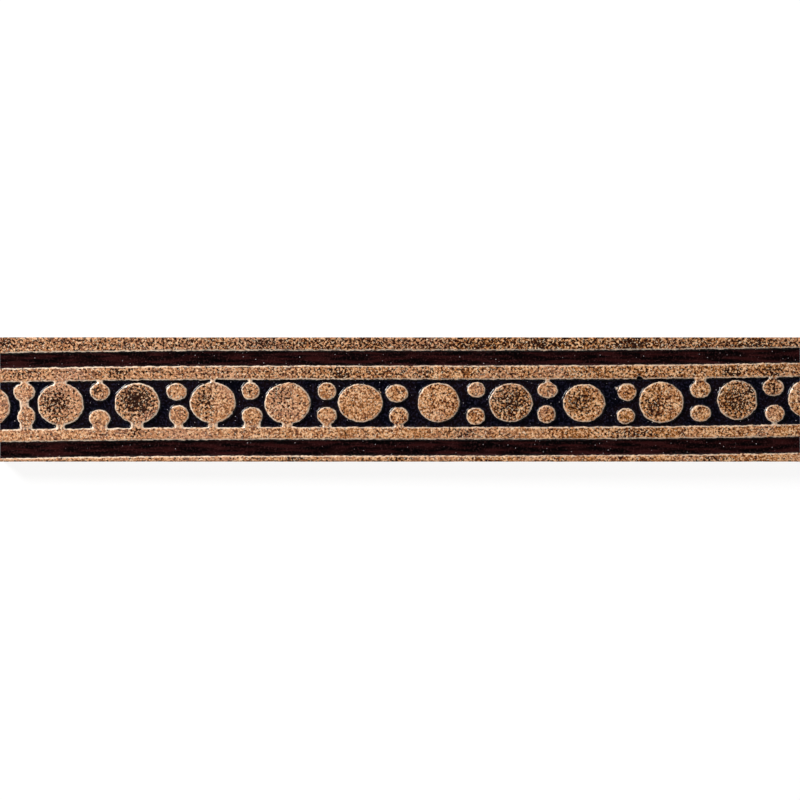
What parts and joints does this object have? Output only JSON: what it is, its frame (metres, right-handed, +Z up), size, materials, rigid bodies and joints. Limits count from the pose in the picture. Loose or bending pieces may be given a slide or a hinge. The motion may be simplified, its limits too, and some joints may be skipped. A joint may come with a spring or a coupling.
{
  "type": "ceramic liner tile",
  "caption": "Narrow ceramic border tile with a raised bronze-lustre frieze of discs and paired dots between bands, over a sunk dark glaze, and a keyed back for adhesive.",
  "frame": {"origin": "middle of the back face, which the tile lies on", "axes": "+X along the strip, +Y across the face towards the wider rim, +Z up out of the decorated face"},
  "size_m": [0.2, 0.0312, 0.008],
  "materials": {
    "lustre_glaze": "grainy bronze lustre on the raised bands, discs and dots, glossy brown-black glaze in the sunk ground, bare buff biscuit on the lower sides and the back"
  },
  "bodies": {
    "root": {"liner_tile": "lustre_glaze"}
  },
  "joints": []
}
